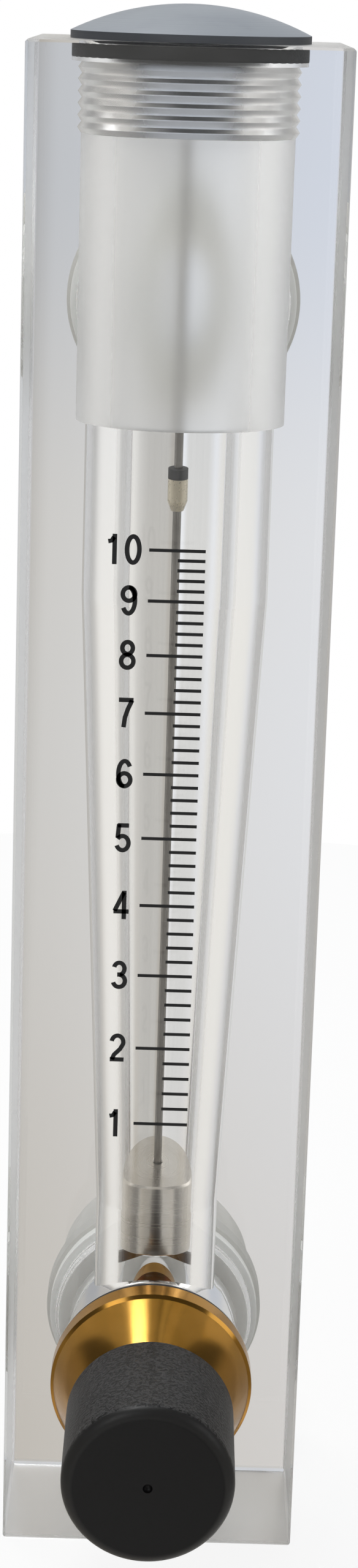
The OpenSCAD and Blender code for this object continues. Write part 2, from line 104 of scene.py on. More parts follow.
ahead = Vector((
    math.sin(YAW) * math.cos(PITCH_DOWN),
    math.cos(YAW) * math.cos(PITCH_DOWN),
    -math.sin(PITCH_DOWN),
))
sideways = Vector((math.cos(YAW), -math.sin(YAW), 0))
above = sideways.cross(ahead)
right = sideways * math.cos(ROLL) + above * math.sin(ROLL)
up = above * math.cos(ROLL) - sideways * math.sin(ROLL)

lens = bpy.data.cameras.new("camera")
lens.sensor_fit = "VERTICAL"
lens.sensor_height = SENSOR_MM
lens.lens = SENSOR_MM * FOCAL_PX / PICTURE[1]
lens.shift_x = (PICTURE[0] / 2 - AXIS_PX[0]) / PICTURE[1]
lens.shift_y = (AXIS_PX[1] - PICTURE[1] / 2) / PICTURE[1]
lens.clip_start = NEAREST
camera = bpy.data.objects.new("camera", lens)
camera.matrix_world = Matrix.Translation(CAMERA_AT) @ Matrix(
    (right, up, -ahead)
).transposed().to_4x4()
bpy.context.scene.collection.objects.link(camera)
bpy.context.scene.camera = camera
print("lens", round(lens.lens, 2), "mm, shift", round(lens.shift_y, 4))

# %% [markdown]
# ## The studio
# Clear plastic shows nothing but its surroundings, so the world is built with care.
# Its walls are white and a little warmer towards the left and the floor. The ceiling
# is dark, which turns the brass a deep gold. In front, a grey room with one dark and
# one bright upright gives the steel float its bands. The camera sees plain white.

# %% Values and colours out of nodes
def level(tree, value, low, high, start=0.0, end=1.0):
    """Straight line from start to end while the value goes from low to high."""
    return add(tree, "MapRange", {
        "From Min": low, "From Max": high, "To Min": start, "To Max": end,
    }, {"Value": value}).outputs["Result"]


def ramp(tree, value, low, high):
    """Smooth step from 0 to 1 while the value goes from low to high."""
    return add(tree, "MapRange", {
        "interpolation_type": "SMOOTHSTEP", "From Min": low, "From Max": high,
    }, {"Value": value}).outputs["Result"]


def both(tree, a, b, how="MULTIPLY"):
    """Two values joined by one operation."""
    return add(tree, "Math", {"operation": how}, {0: a, 1: b}).outputs[0]


def band(tree, value, low, low_full, high_full, high):
    """1 between the two full values, 0 below low and above high, smooth in between."""
    return both(tree, ramp(tree, value, low, low_full), ramp(tree, value, high, high_full))


def blend(tree, share, first, second, kind="MIX"):
    """Colour mix. A colour is a hex code or an output, the share a number or an output."""
    settings = {"data_type": "RGBA", "blend_type": kind}
    links = {}
    for socket, given in ((0, share), (6, first), (7, second)):
        if isinstance(given, str):
            settings[socket] = linear(given)
        elif isinstance(given, float):
            settings[socket] = given
        else:
            links[socket] = given
    return add(tree, "Mix", settings, links).outputs[2]


def tinted(tree, colour, share, first, second):
    """A colour times a tint that goes from the first hex code to the second."""
    return blend(tree, 1.0, colour, blend(tree, share, first, second), "MULTIPLY")


print("value and colour helpers ready")

# %% World
# Zones of the studio, as values of a direction's component between which a tone changes.
# A ray that passes straight through the block leaves it less than 0.06 from the middle.
# A bore bends it up to 0.7 aside, and a ray that leaves by a side face goes further still.
MIDDLE_X = (-0.09, 0.09)
LEFT_X = (-0.3, -0.09)
LEFT_EDGE_X = (-0.064, -0.049)
DARK_UPRIGHT_X = (0.0, 0.06, 0.26, 0.36)
BRIGHT_UPRIGHT_X = (-0.2, -0.16, -0.1, -0.06)
BORE_HALVES_X = (-0.1, 0.1)
BORE_ASIDE = (0.09, 0.18, 0.5, 0.7)
SIDE_FACE_ASIDE = (0.66, 0.86)
SIDE_WALL_ASIDE = (0.2, 0.5)
SIDE_WALL_Z = (-0.75, -0.4)
LOW_Z = (-0.26, -0.58)
COOL_Z = (-0.22, -0.06, 0.02, 0.12)
UPPER_Z = (0.0, 0.3)
OVERHEAD_Z = (0.6, 0.8)
IN_FRONT_Y = (-0.35, -0.8)
NOT_BEHIND_Y = (0.75, 0.45)

world = bpy.data.worlds.new("studio")
bpy.context.scene.world = world
world.use_nodes = True
tree = world.node_tree
tree.nodes.clear()
ray = add(tree, "LightPath")
place = add(tree, "TexCoord")
x, y, z = add(tree, "SeparateXYZ", None, {"Vector": place.outputs["Generated"]}).outputs
aside = add(tree, "Math", {"operation": "ABSOLUTE"}, {0: x}).outputs[0]

# The wall behind the block, and the room in front with its two uprights
wall = blend(tree, ramp(tree, x, *MIDDLE_X), "#dad8d3", "#fafcff")
wall = tinted(tree, wall, ramp(tree, z, *LOW_Z), "#ffffff", "#eee9e2")
front = ramp(tree, y, *IN_FRONT_Y)
wall = blend(tree, front, wall, "#d2cfc8")
dark_upright = both(tree, band(tree, x, *DARK_UPRIGHT_X), front)
wall = blend(tree, dark_upright, wall, "#5a5a5a")
bright_upright = both(tree, band(tree, x, *BRIGHT_UPRIGHT_X), front)
wall = blend(tree, bright_upright, wall, "#f4f8ff")

# Metal sees grey walls at the sides and a dark ceiling, open only towards the back
side = both(tree, ramp(tree, aside, *SIDE_WALL_ASIDE), ramp(tree, z, *SIDE_WALL_Z))
studio = blend(tree, side, wall, "#8c8983")
ceiling = both(tree, ramp(tree, z, *UPPER_Z), ramp(tree, y, *NOT_BEHIND_Y))
ceiling = both(tree, ceiling, ramp(tree, z, *OVERHEAD_Z), "MAXIMUM")
studio = blend(tree, ceiling, studio, "#515255")

# The block shows a warmer upper wall and a darker strip along its left edge
wall = tinted(tree, wall, ramp(tree, z, *UPPER_Z), "#ffffff", "#ece7de")
strip = tinted(tree, wall, ramp(tree, x, *LEFT_EDGE_X), "#dad7d3", "#ffffff")
wall = blend(tree, ramp(tree, x, *LEFT_X), wall, strip)
# A bore spreads the wall behind it, and its two halves show these two tones
halves = blend(tree, ramp(tree, x, *BORE_HALVES_X), "#c4c2bd", "#e2e2e0")
wall = blend(tree, band(tree, aside, *BORE_ASIDE), wall, halves)
# Rays that leave through the sides meet brighter walls, and the upper part of the block
# looks cooler than the lower part
wall = blend(tree, ramp(tree, aside, *SIDE_FACE_ASIDE), wall, "#fbf9f3")
wall = tinted(tree, wall, band(tree, z, *COOL_Z), "#ffffff", "#edf2fb")

# A ray off metal is a glossy one. A ray bent by acrylic is glossy and transmitted at once.
# Matt surfaces are lit by an even light grey instead.
glossy = ray.outputs["Is Glossy Ray"]
bent = ray.outputs["Is Transmission Ray"]
mirrored = blend(tree, both(tree, glossy, bent, "SUBTRACT"), wall, studio)
lit = blend(tree, both(tree, glossy, bent, "MAXIMUM"), "#c0c2c4", mirrored)
seen = blend(tree, ray.outputs["Is Camera Ray"], lit, "#ffffff")
glow = add(tree, "Background", {"Strength": 1.0}, {"Color": seen})
add(tree, "OutputWorld", None, {"Surface": glow.outputs[0]})
print("world:", len(tree.nodes), "nodes")

# %% Floor
FLOOR_R = 0.42
FLOOR_SIDES = 96
FLOOR_DROP = 0.05 * MM
# To the camera the paper is nearly as white as the wall behind it, with a faint shadow
PAPER_GLOW = 0.86

floor_mesh = bpy.data.meshes.new("floor")
disc = bmesh.new()
bmesh.ops.create_circle(disc, cap_ends=True, segments=FLOOR_SIDES, radius=FLOOR_R)
disc.to_mesh(floor_mesh)
disc.free()
floor_mesh.transform(Matrix.Translation((0, 0, -FLOOR_DROP)))
floor = bpy.data.objects.new("floor", floor_mesh)
bpy.context.scene.collection.objects.link(floor)
paper, tree, out = new_material("matt_white_paper")
ray = add(tree, "LightPath")
share = add(tree, "Math", {"operation": "MULTIPLY", 1: PAPER_GLOW}, {
    0: ray.outputs["Is Camera Ray"]})
matt = add(tree, "BsdfDiffuse", {"Color": linear("#f4f4f3")})
white = add(tree, "Emission", {"Color": linear("#ffffff"), "Strength": 1.0})
lit = add(tree, "MixShader", None, {0: share.outputs[0], 1: matt.outputs[0], 2: white.outputs[0]})
# Rays that come off metal or out of the block see the studio wall, not the floor's edge
sheen = both(tree, ray.outputs["Is Glossy Ray"], ray.outputs["Is Transmission Ray"], "MAXIMUM")
open_floor = add(tree, "BsdfTransparent")
mixed = add(tree, "MixShader", None, {0: sheen, 1: lit.outputs[0], 2: open_floor.outputs[0]})
tree.links.new(mixed.outputs[0], out.inputs["Surface"])
floor_mesh.materials.append(paper)
print("floor:", FLOOR_R, "m")


# %% Lamps
def lamp(name, at, towards, size, watts):
    """A soft rectangular lamp that faces a point."""
    light = bpy.data.lights.new(name, "AREA")
    light.shape = "RECTANGLE"
    light.size, light.size_y = size
    light.energy = watts
    piece = bpy.data.objects.new(name, light)
    turn = Vector((0, 0, -1)).rotation_difference(Vector(towards) - Vector(at))
    piece.matrix_world = Matrix.Translation(at) @ turn.to_matrix().to_4x4()
    bpy.context.scene.collection.objects.link(piece)
    return light


# Both front lamps face a point a little below the block's middle
FRONT_AIM = (0, 0, 0.12)
lamp("key", at=(-0.55, -0.75, 0.75), towards=FRONT_AIM, size=(0.35, 0.6), watts=1.6)
lamp("fill", at=(0.9, -0.35, 0.45), towards=FRONT_AIM, size=(0.5, 0.7), watts=1.2)
top = lamp("top", at=(-0.25, 0.24, 1.1), towards=(0, -0.03, 0.05), size=(0.3, 0.2), watts=4.4)
# The brass cone mirrors this lamp through the block. Only shadow rays get through it
# straight, so the lamp is left to them alone and the cone keeps its white band.
top.cycles.use_multiple_importance_sampling = False
print("lamps: key, fill, top")

# %% [markdown]
# ## Cast acrylic
# The block is cut from cast sheet. Its front and rear are polished and nearly without
# marks, and so is the tapered bore. Thread, valve chamber and ports keep the matt rings
# of the tool, the counterbore is frosted, and the side faces and sawn ends are satin.
# One refracting shader does all of it: the index of acrylic is 1.49, and the roughness
# grows where a distance from an axis or from an end says that such a wall lies.

# %% Places that the finishes need
FRONT_Y = -22.225 * MM
REAR_Y = 22.225 * MM
BLOCK_TOP = 291.2 * MM
VALVE_Z = 36.7 * MM
OUTLET_Z = 243.5 * MM
STEP_Z = 223 * MM
PLUG_END_Z = 274.7 * MM
THREAD_PITCH = 2.117 * MM
# Cut walls: least and greatest distance from their axis
COUNTERBORE_R = (17.5 * MM, 20.1 * MM)
PLUG_THREAD_R = (18.6 * MM, 21.3 * MM)
VALVE_R = (10 * MM, 19.3 * MM)
PORT_R = (8 * MM, 21.3 * MM)
VALVE_FLOOR_Y = -13 * MM
PORT_FLOOR_Y = 13.6 * MM
# Side faces, short of the polished edge at the front
FLANK_X = (27.9 * MM, 29 * MM)
FLANK_Y = (-21.9 * MM, 30 * MM)
# Sawn ends: heights between which the satin begins
SAWN_LOW_Z = (1.0 * MM, 0.9 * MM)
SAWN_HIGH_Z = (BLOCK_TOP - 0.1 * MM, BLOCK_TOP - 0.05 * MM)
# The outermost part of a thread or chamber, which is left polished
LIP = 0.2 * MM
# Width over which one kind of wall turns into the next
SOFT = 0.05 * MM


# %% Acrylic
ACRYLIC_IOR = 1.49
ABSORPTION = 10.0
POLISH = (0.0, 0.02)
ROUGH = {"flank": 0.4, "fine": 0.26, "port": 0.7, "counterbore": 0.5, "sawn": 0.4}
# Waves of a noise to the metre. Sixty make patches about 17 mm wide.
HANDLING_WAVES = 60.0
HANDLING_SPAN = (0.45, 0.75)
SHEET_WAVES = 22.0
SHEET_RELIEF = 0.2 * MM


def within(tree, value, low, high, soft=SOFT):
    """1 where value lies between low and high, with soft ends."""
    return both(tree, level(tree, value, low - soft, low),
                level(tree, value, high, high + soft, 1.0, 0.0))


def axis_distance(tree, a, b, middle_b=0.0):
    """Distance from an axis in the plane of two coordinates."""
    moved = add(tree, "Math", {"operation": "SUBTRACT", 1: middle_b}, {0: b})
    flat = add(tree, "CombineXYZ", None, {"X": a, "Y": moved.outputs[0]})
    return add(tree, "VectorMath", {"operation": "LENGTH"}, {0: flat.outputs[0]}).outputs["Value"]


def noise(tree, at, scale, detail, **more):
    """Values of a noise with so many waves to the metre."""
    return add(tree, "TexNoise", {"Scale": scale, "Detail": detail, **more}, {
        "Vector": at}).outputs["Fac"]


acrylic, tree, out = new_material("cast_acrylic_polished")
at = add(tree, "TexCoord").outputs["Object"]
x, y, z = add(tree, "SeparateXYZ", None, {"Vector": at}).outputs
bore = axis_distance(tree, x, y)
valve_axis, outlet_axis = (axis_distance(tree, x, z, height) for height in (VALVE_Z, OUTLET_Z))
zones = {}
zones["counterbore"] = both(tree, within(tree, bore, *COUNTERBORE_R),
                            within(tree, z, STEP_Z - SOFT, PLUG_END_Z))
thread = both(tree, within(tree, bore, *PLUG_THREAD_R),
              within(tree, z, PLUG_END_Z, BLOCK_TOP - LIP))
valve = both(tree, within(tree, valve_axis, *VALVE_R),
             within(tree, y, FRONT_Y + LIP, VALVE_FLOOR_Y))
zones["fine"] = both(tree, thread, valve, "MAXIMUM")
port = both(tree, within(tree, valve_axis, *PORT_R), within(tree, outlet_axis, *PORT_R),
            "MAXIMUM")
zones["port"] = both(tree, port, within(tree, y, PORT_FLOOR_Y, REAR_Y - LIP))
beside = add(tree, "Math", {"operation": "ABSOLUTE"}, {0: x}).outputs[0]
zones["flank"] = both(tree, within(tree, beside, *FLANK_X), within(tree, y, *FLANK_Y))
zones["sawn"] = both(tree, level(tree, z, *SAWN_LOW_Z), level(tree, z, *SAWN_HIGH_Z),
                     "MAXIMUM")
# Handling leaves the polished faces a little less clear in patches
rough = level(tree, noise(tree, at, HANDLING_WAVES, 4.0), *HANDLING_SPAN, *POLISH)
for zone, value in ROUGH.items():
    rough = add(tree, "Mix", {3: value}, {0: zones[zone], 2: rough}).outputs[0]
# Cast sheet is not quite flat, and its reflections swim a little
relief = add(tree, "Bump", {"Strength": 0.02, "Distance": SHEET_RELIEF}, {
    "Height": noise(tree, at, SHEET_WAVES, 1.0)})
# Cut walls at the top scatter light that polished ones would lose, so they look paler
pale = both(tree, zones["counterbore"], thread, "MAXIMUM")
clear = add(tree, "BsdfPrincipled", {"Transmission Weight": 1.0, "IOR": ACRYLIC_IOR}, {
    "Base Color": blend(tree, pale, "#fafafa", "#ffffff"),
    "Roughness": rough, "Normal": relief.outputs[0]})
# Lamps shine through the block nearly unhindered, or its inside would be black
ray = add(tree, "LightPath")
through = add(tree, "BsdfTransparent", {"Color": linear("#e9eced")})
mixed = add(tree, "MixShader", None, {
    0: ray.outputs["Is Shadow Ray"], 1: clear.outputs[0], 2: through.outputs[0]})
tree.links.new(mixed.outputs[0], out.inputs["Surface"])
haze = add(tree, "VolumeAbsorption", {"Color": linear("#dcdcdf"), "Density": ABSORPTION})
tree.links.new(haze.outputs[0], out.inputs["Volume"])
print("acrylic:", len(tree.nodes), "nodes")


# %% [markdown]
# ## Turned metal and plastic
# A lathe leaves rings round the axis of the piece. The rings are far finer than a
# render shows, so they are drawn about three times too coarse. The same function
# serves brass, steel and the grey plastic: only colour, roughness and metal differ.

# %% Turned finishes
# Most values of a noise lie in this span, and over it the roughness goes from one share
# of its given value to the other
NOISE_SPAN = (0.3, 0.7)
TURNED_SHARES = (0.75, 1.3)
STAIN_WAVES = 90.0
STAIN_SPAN = (0.42, 0.72)


def turned(name, colour, worn, metallic, rough, rings_mm, axis, depth_mm=0.006, bands=()):
    """A lathe finish round the named axis. Bands give stretches of it another colour."""
    made, tree, out = new_material(name)
    place = add(tree, "TexCoord")
    shift = {"z": (0, 0, 0), "valve": (0, 0, -VALVE_Z)}[axis]
    at = add(tree, "Mapping", {"Location": shift}, {"Vector": place.outputs["Object"]}).outputs[0]
    x, y, z = add(tree, "SeparateXYZ", None, {"Vector": at}).outputs
    across, along = (y, z) if axis == "z" else (z, y)
    # One number that grows outward and along the axis gives rings on faces and on sides
    feed = both(tree, axis_distance(tree, x, across), along, "ADD")
    ring = add(tree, "CombineXYZ", None, {"X": feed}).outputs[0]
    lines = noise(tree, ring, 1 / (rings_mm * MM), 3.0, Roughness=0.6)
    stain = level(tree, noise(tree, at, STAIN_WAVES, 5.0), *STAIN_SPAN)
    shade = blend(tree, stain, colour, worn)
    for low_at, high_at, band_colour in bands:
        shade = blend(tree, within(tree, along, low_at, high_at), shade, band_colour)
    relief = add(tree, "Bump", {"Strength": 0.5, "Distance": depth_mm * MM}, {"Height": lines})
    uneven = level(tree, lines, *NOISE_SPAN, *(rough * share for share in TURNED_SHARES))
    body = add(tree, "BsdfPrincipled", {"Metallic": metallic}, {
        "Base Color": shade, "Roughness": uneven, "Normal": relief.outputs[0]})
    tree.links.new(body.outputs[0], out.inputs["Surface"])
    return made


# Deep gold with one white band on the cone and fine rings round the flange
brass = turned("free_cutting_brass_turned", "#cb9746", "#b58332", metallic=1.0, rough=0.16,
               rings_mm=0.25, axis="valve", depth_mm=0.002)
# A thin dark line down the bore
steel_rod = turned("stainless_rod_drawn", "#85827e", "#74716c", metallic=1.0, rough=0.22,
                   rings_mm=0.3, axis="z")
# Grey small parts behind the brass, hardly seen
steel_valve = turned("stainless_valve_parts", "#b4b2ae", "#9b9893", metallic=1.0, rough=0.25,
                     rings_mm=0.3, axis="valve")
# Warm grey with soft upright bands from the room in front
steel_float = turned("stainless_float_polished", "#d8d3cb", "#c9c3b9", metallic=1.0,
                     rough=0.24, rings_mm=0.35, axis="z")
# A dull black screw, hidden in the knob's side
black_steel = turned("black_oxide_steel", "#26272a", "#35363a", metallic=0.6, rough=0.4,
                     rings_mm=0.3, axis="valve")

# The plug is a cool grey. Its thread is wrapped in white sealing tape with a painted shadow line
# under each crest, and its rim carries a band of painted shade.
TAPE_Z = (BLOCK_TOP - 30 * MM, BLOCK_TOP - 3.8 * MM)
RIM_SHADE_Z = (BLOCK_TOP - 3.8 * MM, BLOCK_TOP + 1.35 * MM)
CREST_SHADOW_Z = (0.2 * MM, 0.85 * MM)
CREST_SHADOW_COUNT = 5
crests = [PLUG_END_Z + (turn + 0.5) * THREAD_PITCH for turn in range(CREST_SHADOW_COUNT)]
# White sealing tape, and a band of painted shade over the rim
plug_bands = [(*TAPE_Z, "#dfe4ee"), (*RIM_SHADE_Z, "#4a4d52")]
# Painted shadow lines, one at each crest of the thread
plug_bands += [(crest + CREST_SHADOW_Z[0], crest + CREST_SHADOW_Z[1], "#2c3036") for crest in crests]
plug_grey = turned("grey_plastic_turned", "#8f959c", "#868c94", metallic=0.0, rough=0.5,
                   rings_mm=0.2, axis="z", depth_mm=0.01, bands=plug_bands)
print("turned finishes: 6")


# %% [markdown]
# ## Moulded finishes
# Rubber rings, the knob and the nylon sleeve come out of a mould. A mould that was
# spark eroded leaves a fine pebble grain, which catches light as tiny specks. The
# grain is a noise of about half a millimetre.

# %% Moulded finishes
MOULDED_SHARES = (0.85, 1.15)
CLOUD_WAVES = 70.0
# The knob is smooth and black on its face, dark grey on the rim round it, and has a pebble grain
# on its side, where the high spots carry a painted sheen: they are paler, as if they caught the
# light
KNOB_RIM_R = (13.6 * MM, 14.4 * MM)
KNOB_SIDE_Y = (-60.2 * MM, -59.6 * MM)
KNOB_RIM = "#222120"
PEBBLE_SHEEN = ("#0f0f10", "#3e3d3d")
HIGH_SPOTS = (0.45, 0.56)


def moulded(name, colour, patch, rough, grain_mm, depth_mm=0.01, extra=None, knob=False):
    """A moulded plastic or rubber with a fine grain, and for the knob its three zones, with a
    painted sheen on the side.
    """
    made, tree, out = new_material(name)
    at = add(tree, "TexCoord").outputs["Object"]
    grain = noise(tree, at, 1 / (grain_mm * MM), 2.0, Roughness=0.6)
    shade = blend(tree, noise(tree, at, CLOUD_WAVES, 4.0), colour, patch)
    relief = add(tree, "Bump", {"Strength": 0.6, "Distance": depth_mm * MM}, {"Height": grain})
    if knob:
        x, y, z = add(tree, "SeparateXYZ", None, {"Vector": at}).outputs
        rim = ramp(tree, axis_distance(tree, x, z, VALVE_Z), *KNOB_RIM_R)
        shade = blend(tree, rim, shade, KNOB_RIM)
        side = ramp(tree, y, *KNOB_SIDE_Y)
        # Painted sheen: the side's grain high spots are paler, as if lit from above
        pebble_sheen = blend(tree, level(tree, grain, *HIGH_SPOTS), *PEBBLE_SHEEN)
        shade = blend(tree, side, shade, pebble_sheen)
        tree.links.new(side, relief.inputs["Strength"])
    uneven = level(tree, grain, *NOISE_SPAN, *(rough * share for share in MOULDED_SHARES))
    body = add(tree, "BsdfPrincipled", extra, {
        "Base Color": shade, "Roughness": uneven, "Normal": relief.outputs[0]})
    tree.links.new(body.outputs[0], out.inputs["Surface"])
    return made


# Matt blue-black, darkest where it touches the acrylic
rubber = moulded("nitrile_rubber_moulded", "#17181b", "#202226", rough=0.55, grain_mm=0.4)
# The knob's pebble grain is drawn a little too coarse, or it would melt into an even grey
knob_black = moulded("black_phenolic_moulded", "#090809", "#0d0c0d", rough=0.42,
                     grain_mm=0.55, depth_mm=0.2, extra={"Specular IOR Level": 0.35},
                     knob=True)
# White and soft, it vanishes behind the block
silicone = moulded("white_silicone_moulded", "#fbfbf8", "#f5f5f0", rough=0.5, grain_mm=0.4)
# A warm tan that lets some light through
nylon = moulded("natural_nylon_moulded", "#ece3cf", "#e2d6ba", rough=0.3, grain_mm=0.5,
                extra={"Transmission Weight": 0.6, "IOR": 1.53})
# Flat black, without any shine
ink = moulded("hot_stamped_ink", "#111214", "#1d1e20", rough=0.5, grain_mm=0.25)
# Pale and milky: half of the light that meets it goes through
milky = moulded("natural_polypropylene_moulded", "#f2f1ee", "#e9e8e3", rough=0.4,
                grain_mm=0.5)
tree = milky.node_tree
surface = tree.nodes["Material Output"].inputs["Surface"]
glow = add(tree, "BsdfTranslucent", {"Color": linear("#f4f4f2")})
half = add(tree, "MixShader", {0: 0.5}, {1: surface.links[0].from_socket, 2: glow.outputs[0]})
tree.links.new(half.outputs[0], surface)
print("moulded finishes: 6")

# %% [markdown]
# ## Which piece gets which finish
# A CAD piece keeps its shape and only takes a material. The table names every one.

# %% Finishes onto the CAD pieces
FINISHES = {
    "acrylic_block": acrylic, "scale_ticks": ink,
    "top_plug": plug_grey, "top_plug_ring": rubber,
    "guide_rod": steel_rod, "stop_ring": rubber, "stop_sleeve": nylon,
    "rod_spider": steel_rod, "float": steel_float,
    "valve_bonnet": brass, "bonnet_ring": rubber, "valve_disc": brass,
    "seat_washer": rubber, "washer_screw": brass, "swivel_clip": steel_valve,
    "valve_stem": steel_valve, "stem_ring_inner": rubber, "stem_ring_outer": rubber,
    "knob": knob_black, "knob_insert": brass, "knob_set_screw": black_steel,
    "inlet_adapter": milky, "inlet_ring": silicone,
    "outlet_adapter": milky, "outlet_ring": silicone,
}
for node_name, finish in FINISHES.items():
    for material_slot in nodes[node_name].material_slots:
        material_slot.material = finish
print("pieces with a finish:", len(FINISHES))

# %% [markdown]
# ## Squeezed sealing rings
# A sealing ring is flat where it presses on the acrylic, and there the clear wall turns
# black over the whole contact. A small Geometry Nodes tree sweeps a rounded rectangle
# round a circle. The rings stand a few hundredths of a millimetre into the wall, so
# that no air is left between rubber and acrylic.

# %% A tree that makes a ring
def node_tree(name, inputs):
    """An empty Geometry Nodes tree with named inputs, its input and its output node."""
    made = bpy.data.node_groups.new(name, "GeometryNodeTree")
    made.interface.new_socket("Geometry", in_out="OUTPUT", socket_type="NodeSocketGeometry")
    for label, kind in inputs.items():
        made.interface.new_socket(label, in_out="INPUT", socket_type="NodeSocket" + kind)
    return made, add(made, "NodeGroupInput").outputs, add(made, "NodeGroupOutput")


def finish_tree(tree, geometry, material, out):
    """Ends a tree: real geometry with its material."""
    real = add(tree, "GeometryNodeRealizeInstances", None, {0: geometry})
    coated = add(tree, "GeometryNodeSetMaterial", None, {0: real.outputs[0],
                                                         "Material": material})
    tree.links.new(coated.outputs[0], out.inputs[0])


def grow(tree, values, name, placed, blank=None):
    """Runs a tree, on a blank where it has one, and returns an object with a plain mesh."""
    piece = bpy.data.objects.new(name, blank or bpy.data.meshes.new(name))
    bpy.context.scene.collection.objects.link(piece)
    modifier = piece.modifiers.new("grow", "NODES")
    modifier.node_group = tree
    for socket in tree.interface.items_tree:
        if socket.in_out == "INPUT" and socket.name in values:
            modifier[socket.identifier] = values[socket.name]
    bpy.context.view_layer.update()
    solved = piece.evaluated_get(bpy.context.evaluated_depsgraph_get())
    mesh = bpy.data.meshes.new_from_object(solved)
    piece.modifiers.remove(modifier)
    mesh.transform(placed)
    piece.data = mesh
    return piece


RING_SIDES = 160
CORNER_STEPS = 6
ring_tree, given, out = node_tree("squeezed_ring", {
    "Radius": "Float", "Width": "Float", "Height": "Float", "Corner": "Float",
    "Finish": "Material"})
path = add(ring_tree, "GeometryNodeCurvePrimitiveCircle", {"Resolution": RING_SIDES}, {
    "Radius": given["Radius"]})
section = add(ring_tree, "GeometryNodeCurvePrimitiveQuadrilateral", None, {
    "Width": given["Width"], "Height": given["Height"]})
rounded = add(ring_tree, "GeometryNodeFilletCurve", {"mode": "POLY", "Count": CORNER_STEPS}, {
    0: section.outputs[0], "Radius": given["Corner"]})
swept = add(ring_tree, "GeometryNodeCurveToMesh", None, {
    "Curve": path.outputs[0], "Profile Curve": rounded.outputs[0]})
smooth = add(ring_tree, "GeometryNodeSetShadeSmooth", None, {0: swept.outputs[0]})
finish_tree(ring_tree, smooth.outputs[0], given["Finish"], out)
print("ring tree:", len(ring_tree.nodes), "nodes")

# %% Four rings
# How far a ring stands into the wall that squeezes it
BITE = 0.045 * MM
RINGS = {
    # node: inner and outer radius, width of cord, corner, axis with place on it, finish
    "top_plug_ring": (18.1, 21.1, 3.46, 0.83, ("z", 289.3), rubber),
    "bonnet_ring": (16.8, 19.1, 2.56, 0.7, ("y", -20.725), rubber),
    "inlet_ring": (18.1, 21.1, 3.46, 0.12, ("y", 20.325), silicone),
    "outlet_ring": (18.1, 21.1, 3.46, 0.12, ("y", 20.325), silicone),
}
for node_name, (inner, outer, cord, corner, (axis, at), finish) in RINGS.items():
    if axis == "z":
        placed = Matrix.Translation((0, 0, at * MM))
    else:
        height = OUTLET_Z if node_name == "outlet_ring" else VALVE_Z
        placed = Matrix.Translation((0, at * MM, height)) @ Matrix.Rotation(
            math.radians(90), 4, "X")
    ring = grow(ring_tree, {
        "Radius": (inner + outer) / 2 * MM + BITE / 2, "Width": (outer - inner) * MM + BITE,
        "Height": cord * MM, "Corner": corner * MM, "Finish": finish,
    }, "squeezed_" + node_name, placed)
    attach(ring, "root")
    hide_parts(node_name)
    print(ring.name, [round(side / MM, 2) for side in ring.dimensions])

# %% [markdown]
# ## Adapters with a real thread
# A thread climbs as it goes round, which a turned solid can't show. Here a blank is turned
# first, a closed skin of rings with close rings where a thread will be. A Geometry Nodes
# tree then lifts each point of those stretches by a rule: its height depends on how far
# along the axis it is, counted in turns, less its angle. So the crest is a helix.

# %% Blank of an adapter
SKIN_STEPS = 144
THREAD_STEPS = 14
# From the block out to the pipe end, then back inside. Start, end, radii at both, close rings
ADAPTER_MM = (
    (14.2, 18.4, 19.15, 19.15, True), (18.42, 22.24, 18.05, 18.05, False),
    (22.255, 22.255, 21.5, 21.9, False), (22.6, 25.9, 21.9, 21.9, False),
    (26.22, 26.22, 21.6, 19.3, False), (26.5, 41.9, 19.15, 19.15, True),
    (42.22, 42.22, 18.8, 13.4, False), (41.1, 23.1, 12.15, 12.05, True),
    (23.03, 23.03, 12.0, 9.7, False), (22.8, 14.4, 9.5, 9.5, False),
    (14.2, 14.2, 9.7, 18.9, False),
)


def turned_blank(name, outline, close_gap):
    """A closed skin of rings round the Y axis."""
    skin = bmesh.new()
    rings = []
    for start, end, first_r, last_r, close in outline:
        count = max(1, round(abs(end - start) / close_gap)) if close else 1
        for step in range(count + 1):
            share = step / count
            r = (first_r + (last_r - first_r) * share) * MM
            at = (start + (end - start) * share) * MM
            angles = [2 * math.pi * i / SKIN_STEPS for i in range(SKIN_STEPS)]
            rings.append([skin.verts.new((r * math.cos(a), at, r * math.sin(a)))
                          for a in angles])
    for ring, following in zip(rings, rings[1:] + rings[:1]):
        for i in range(SKIN_STEPS):
            j = (i + 1) % SKIN_STEPS
            skin.faces.new((ring[i], ring[j], following[j], following[i]))
    bmesh.ops.recalc_face_normals(skin, faces=skin.faces)
    mesh = bpy.data.meshes.new(name)
    skin.to_mesh(mesh)
    skin.free()
    return mesh


# %% A tree that cuts the threads
# Each stretch: start, end, least and greatest radius of the points it lifts, in mm
OUTER_THREADS = ((14.2, 18.4, 19.1, 19.2), (26.5, 41.9, 19.1, 19.2))
INNER_THREAD = (23.1, 41.1, 12.04, 12.16)
# A thread grows to its full depth over this share of its length at each end, and its
# root stays flat over this share of a turn to either side
LEAD = 1 / 6
FLAT_ROOT = 0.115
SHARP_EDGE = 0.01 * MM
thread_tree, given, out = node_tree("cut_threads", {
    "Blank": "Geometry", "Pitch": "Float", "Outer Depth": "Float", "Inner Depth": "Float",
    "Finish": "Material"})
position = add(thread_tree, "GeometryNodeInputPosition").outputs[0]
x, y, z = add(thread_tree, "SeparateXYZ", None, {"Vector": position}).outputs
flat = add(thread_tree, "CombineXYZ", None, {"X": x, "Z": z}).outputs[0]
radius = add(thread_tree, "VectorMath", {"operation": "LENGTH"}, {0: flat}).outputs["Value"]
outward = add(thread_tree, "VectorMath", {"operation": "NORMALIZE"}, {0: flat}).outputs[0]
angle = both(thread_tree, z, x, "ARCTAN2")
angle = add(thread_tree, "Math", {"operation": "DIVIDE", 1: 2 * math.pi}, {0: angle}).outputs[0]
turns = both(thread_tree, both(thread_tree, y, given["Pitch"], "DIVIDE"), angle, "SUBTRACT")
